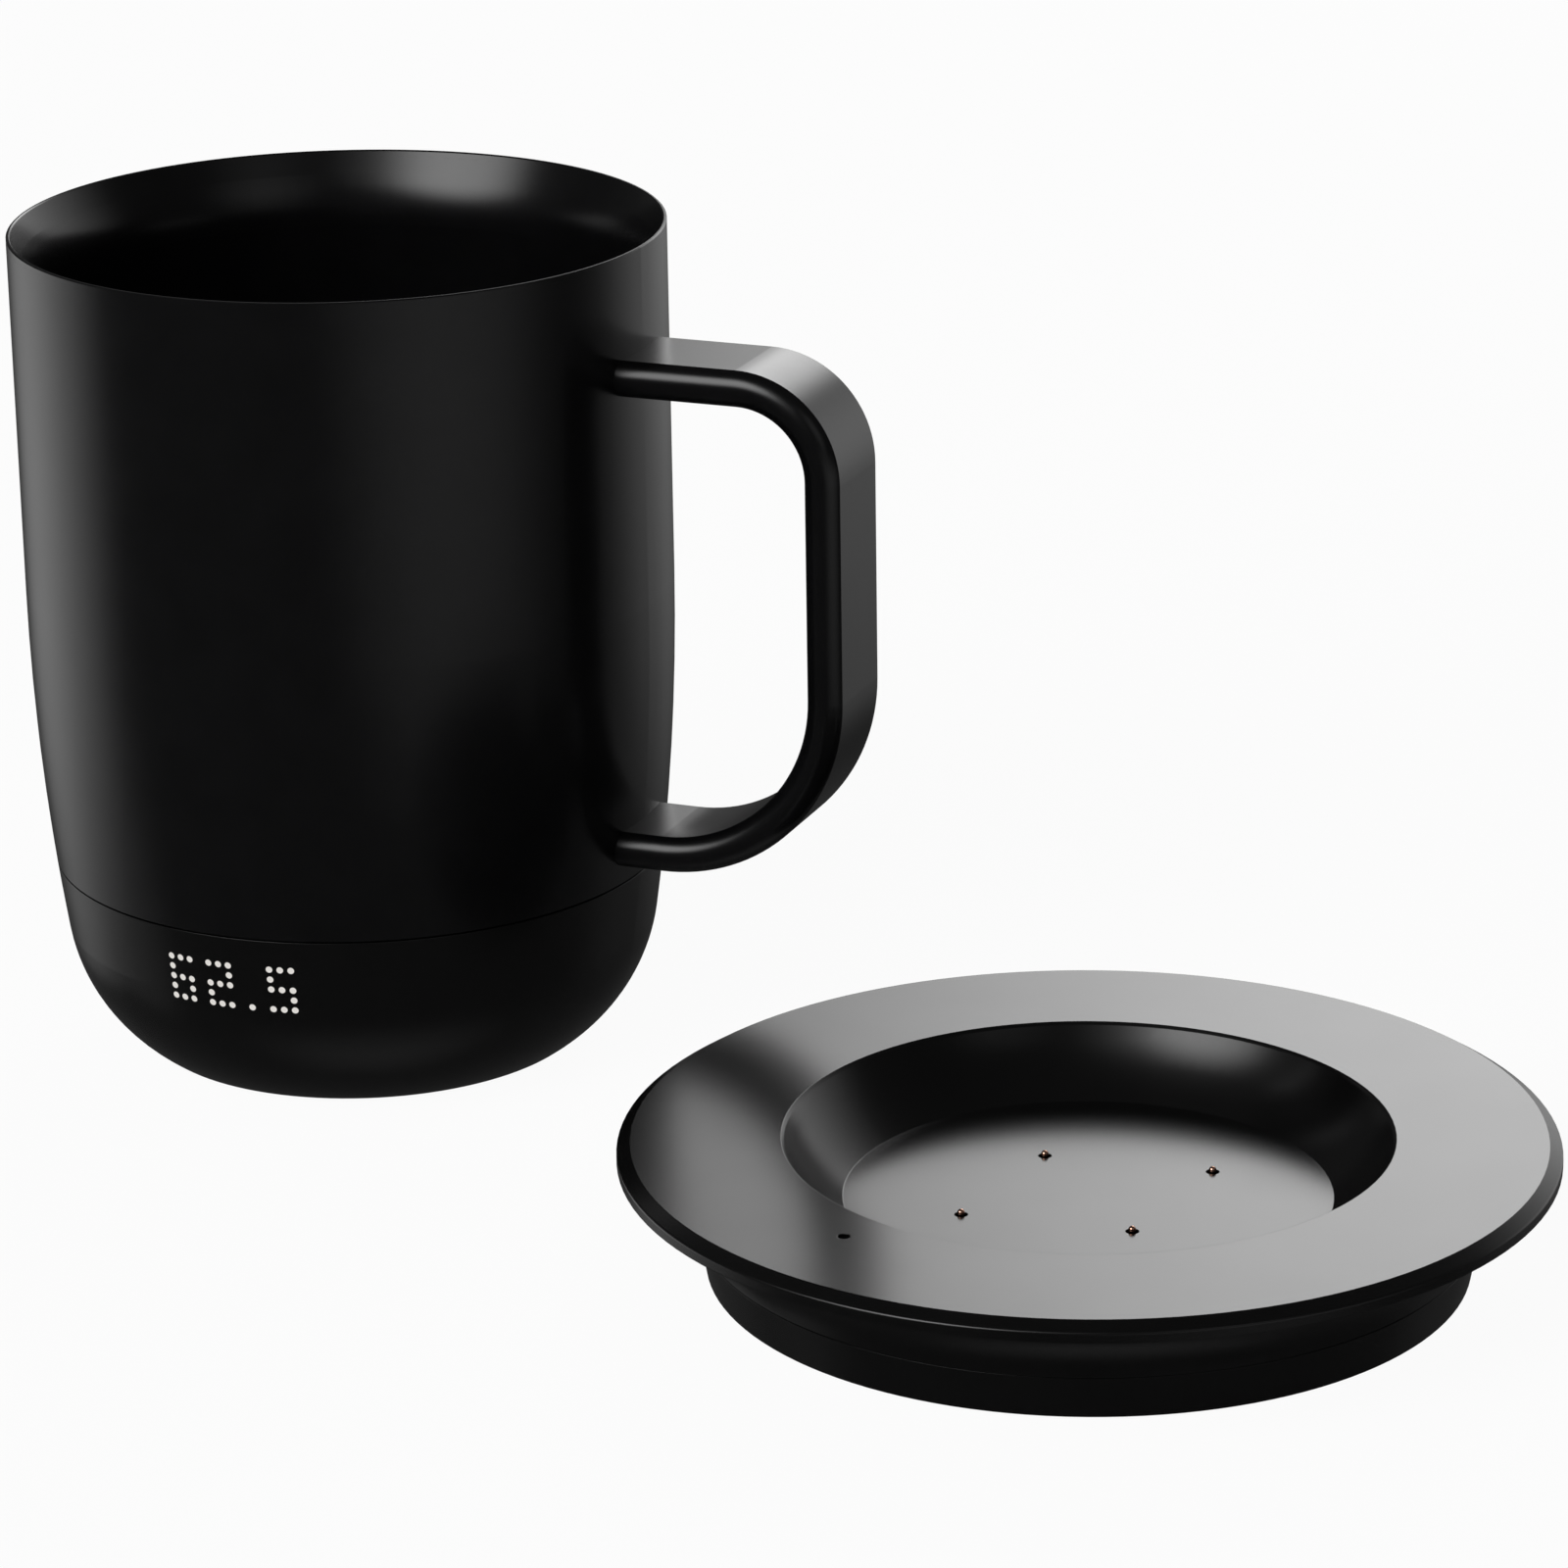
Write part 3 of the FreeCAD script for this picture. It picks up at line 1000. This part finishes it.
def inlet_outline(ease, reach):
    """The rounded slot of the power inlet, from its back to a distance from the axis."""
    half_height = INLET_HEIGHT / 2 + ease
    half_flat = INLET_WIDTH / 2 + ease - half_height
    back = INLET_BACK - ease

    def at(x, z):
        return Vector(x, back, INLET_CENTRE + z)
    wire = Part.Wire([line(at(-half_flat, half_height), at(half_flat, half_height)),
                      Part.Arc(at(half_flat, half_height), at(half_flat + half_height, 0),
                               at(half_flat, -half_height)).toShape(),
                      line(at(half_flat, -half_height), at(-half_flat, -half_height)),
                      Part.Arc(at(-half_flat, -half_height), at(-half_flat - half_height, 0),
                               at(-half_flat, half_height)).toShape()])
    return Part.Face(wire).extrude(Vector(0, reach - back, 0))


def inlet_shell():
    """The steel sleeve of the power inlet, closed at its back."""
    cavity = inlet_outline(-INLET_WALL, INLET_FRONT)
    return inlet_outline(0, INLET_FRONT).cut(cavity)


def inlet_tongue():
    """The contact tongue in the middle of the inlet."""
    length = INLET_LENGTH - INLET_WALL - TONGUE_GAP
    return block(TONGUE_WIDTH, length, INLET_CENTRE - TONGUE_THICKNESS / 2, TONGUE_THICKNESS,
                 0, INLET_BACK + INLET_WALL + length / 2)


def charger_board():
    board = disc(CHARGER_BOARD_RADIUS, CHARGER_BOTTOM, CHARGER_BOARD_THICKNESS)
    nose_end = INLET_BACK + BOARD_NOSE_LAP
    board = board.fuse(block(BOARD_NOSE_WIDTH, nose_end, CHARGER_BOTTOM, CHARGER_BOARD_THICKNESS,
                             0, nose_end / 2))
    board = board.cut(inlet_outline(INLET_FIT, FLANGE_RADIUS))
    for x, y in charger_screw_places():
        board = board.cut(disc(CHARGER_SCREW_RADIUS, CHARGER_BOTTOM, CHARGER_BOARD_THICKNESS, x, y))
    return board.removeSplitter()


def charger_board_screws():
    screws = []
    bottom = FLOOR_TOP - COASTER_FLOOR / 2
    for x, y in charger_screw_places():
        shank = disc(CHARGER_SCREW_RADIUS, bottom, CHARGER_TOP - bottom, x, y)
        head = disc(CHARGER_SCREW_HEAD_RADIUS, CHARGER_TOP, CHARGER_SCREW_HEAD, x, y)
        screws.append(shank.fuse(head).removeSplitter())
    return Part.makeCompound(screws)


def pin_block():
    """The insulating block that holds the pin barrels on the board."""
    radius = OUTER_CONTACT_RADIUS + BARREL_RADIUS + PIN_BLOCK_MARGIN
    pins = disc(radius, CHARGER_TOP, BARREL_TOP - CHARGER_TOP)
    for x, y in pin_places():
        pins = pins.cut(disc(BARREL_RADIUS, CHARGER_TOP, BARREL_TOP - CHARGER_TOP, x, y))
    return pins


def pin_barrels():
    barrels = []
    bore = BARREL_RADIUS - BARREL_WALL
    for x, y in pin_places():
        barrel = disc(BARREL_RADIUS, BARREL_BOTTOM, BARREL_TOP - BARREL_BOTTOM, x, y)
        barrel = barrel.cut(disc(bore, BARREL_BOTTOM + BARREL_WALL,
                                 BARREL_TOP - BARREL_BOTTOM - 2 * BARREL_WALL, x, y))
        mouth = disc(PIN_TIP_RADIUS + PIN_RUN_FIT, BARREL_TOP - BARREL_WALL, BARREL_WALL, x, y)
        barrels.append(barrel.cut(mouth))
    return Part.makeCompound(barrels)


def contact_pin(x, y):
    """A plunger: a shoulder that stays in the barrel, and a tip with a round end."""
    tip_top = PIN_TOP - PIN_TIP_RADIUS
    shoulder = disc(PIN_SHOULDER_RADIUS, SHOULDER_BOTTOM, PIN_SHOULDER, x, y)
    tip = disc(PIN_TIP_RADIUS, SHOULDER_TOP, tip_top - SHOULDER_TOP, x, y)
    end = Part.makeSphere(PIN_TIP_RADIUS, Vector(x, y, tip_top))
    return shoulder.fuse(tip).fuse(end).removeSplitter()


def pin_spring(x, y):
    spring = coil(PIN_SPRING_RADIUS, PIN_SPRING_WIRE, BARREL_BOTTOM + BARREL_WALL + SPRING_END_PLAY,
                  SHOULDER_BOTTOM - SPRING_END_PLAY, PIN_SPRING_TURNS)
    spring.translate(Vector(x, y, 0))
    return spring


def light_pipe():
    """The clear pin that carries the lamp's light to the flange."""
    stem_top = COASTER_HEIGHT - LIGHT_PIPE_RECESS
    stem = disc(LIGHT_PIPE_RADIUS, PIPE_HEAD_TOP, stem_top - PIPE_HEAD_TOP, LAMP_X, LAMP_Y)
    head = disc(LIGHT_PIPE_HEAD_RADIUS, PIPE_HEAD_TOP - LIGHT_PIPE_HEAD, LIGHT_PIPE_HEAD, LAMP_X, LAMP_Y)
    return stem.fuse(head).removeSplitter()


def lamp_frame(solid):
    """Carries a piece that was drawn on +X at the lamp's circle to the lamp's place."""
    solid.rotate(ORIGIN, UP, LAMP_TURN)
    return solid


def status_lamp():
    return lamp_frame(block(STATUS_LAMP_SIZE, STATUS_LAMP_SIZE, LAMP_BOARD_TOP, STATUS_LAMP_HEIGHT,
                            LAMP_CIRCLE, 0))


def lamp_board():
    return lamp_frame(block(LAMP_BOARD_WIDTH, LAMP_BOARD_LENGTH, LAMP_BOARD_BOTTOM, LAMP_BOARD_THICKNESS,
                            LAMP_CIRCLE, 0))


def lamp_wires():
    """Two wires from the lamp board, over the ballast, to the charger board."""
    wires = []
    start_x = LAMP_CIRCLE - LAMP_BOARD_WIDTH / 2 + LAMP_WIRE_RADIUS
    over = FLOOR_TOP + BALLAST_THICKNESS + 2 * LAMP_WIRE_RADIUS
    end_x = CHARGER_BOARD_RADIUS - 4 * LAMP_WIRE_RADIUS
    for side in (-1, 1):
        y = side * LAMP_WIRE_SPREAD
        points = [(start_x, y, LAMP_BOARD_BOTTOM), (start_x, y, over),
                  (end_x, y, over), (end_x, y, CHARGER_TOP)]
        wires.append(lamp_frame(wire_along(points, LAMP_WIRE_RADIUS, LAMP_WIRE_BEND)))
    return Part.makeCompound(wires)


# Writing the pieces out

MUG_PIECES = {
    "mug_outer_shell": mug_outer_shell,
    "inner_cup": inner_cup,
    "handle": handle,
    "handle_screws": handle_screws,
    "base_shell": base_shell,
    "shell_gasket": shell_gasket,
    "foot_ring": foot_ring_solid,
    "base_cover": base_cover,
    "contact_ring_inner": lambda: contact_ring(INNER_CONTACT_RADIUS, 0),
    "contact_ring_outer": lambda: contact_ring(OUTER_CONTACT_RADIUS, 90),
    "cover_screws": cover_screws,
    "power_button": power_button,
    "button_switch": button_switch,
    "button_spring": button_spring,
    "control_board": control_board,
    "battery_tray": battery_tray,
    "battery_cell_left": lambda: battery_cell(-1),
    "battery_cell_right": lambda: battery_cell(1),
    "cell_pads": cell_pads,
    "cell_cover": cell_cover,
    "insulation_disc": insulation_disc,
    "temperature_sensor": temperature_sensor,
    "film_heater": film_heater,
    "heat_spreader": heat_spreader,
    "heater_wires": heater_wires,
    "cell_wires": cell_wires,
    "display_diffuser": display_diffuser,
    "display_lamps": display_lamps,
    "display_board": display_board,
    "display_ribbon": display_ribbon,
}

COASTER_PIECES = {
    "coaster_top": coaster_top,
    "coaster_base": coaster_base,
    "coaster_foot": coaster_foot,
    "coaster_screws": coaster_screws,
    "ballast_ring": ballast_ring,
    "inlet_shell": inlet_shell,
    "inlet_tongue": inlet_tongue,
    "charger_board": charger_board,
    "charger_board_screws": charger_board_screws,
    "pin_block": pin_block,
    "pin_barrels": pin_barrels,
    "light_pipe": light_pipe,
    "status_lamp": status_lamp,
    "lamp_board": lamp_board,
    "lamp_wires": lamp_wires,
}


def write(name, shape):
    shape.exportStep(os.path.join("parts", name + ".step"))


os.makedirs("parts", exist_ok=True)
mug_place = FreeCAD.Placement(Vector(MUG_X, MUG_Y, 0), FreeCAD.Rotation(UP, MUG_TURN))
for piece_name, make_piece in MUG_PIECES.items():
    piece = make_piece()
    piece.transformShape(mug_place.toMatrix())
    write(piece_name, piece)
for piece_name, make_piece in COASTER_PIECES.items():
    write(piece_name, make_piece())
for number, (pin_x, pin_y) in enumerate(pin_places(), start=1):
    write("contact_pin_%d" % number, contact_pin(pin_x, pin_y))
    write("pin_spring_%d" % number, pin_spring(pin_x, pin_y))
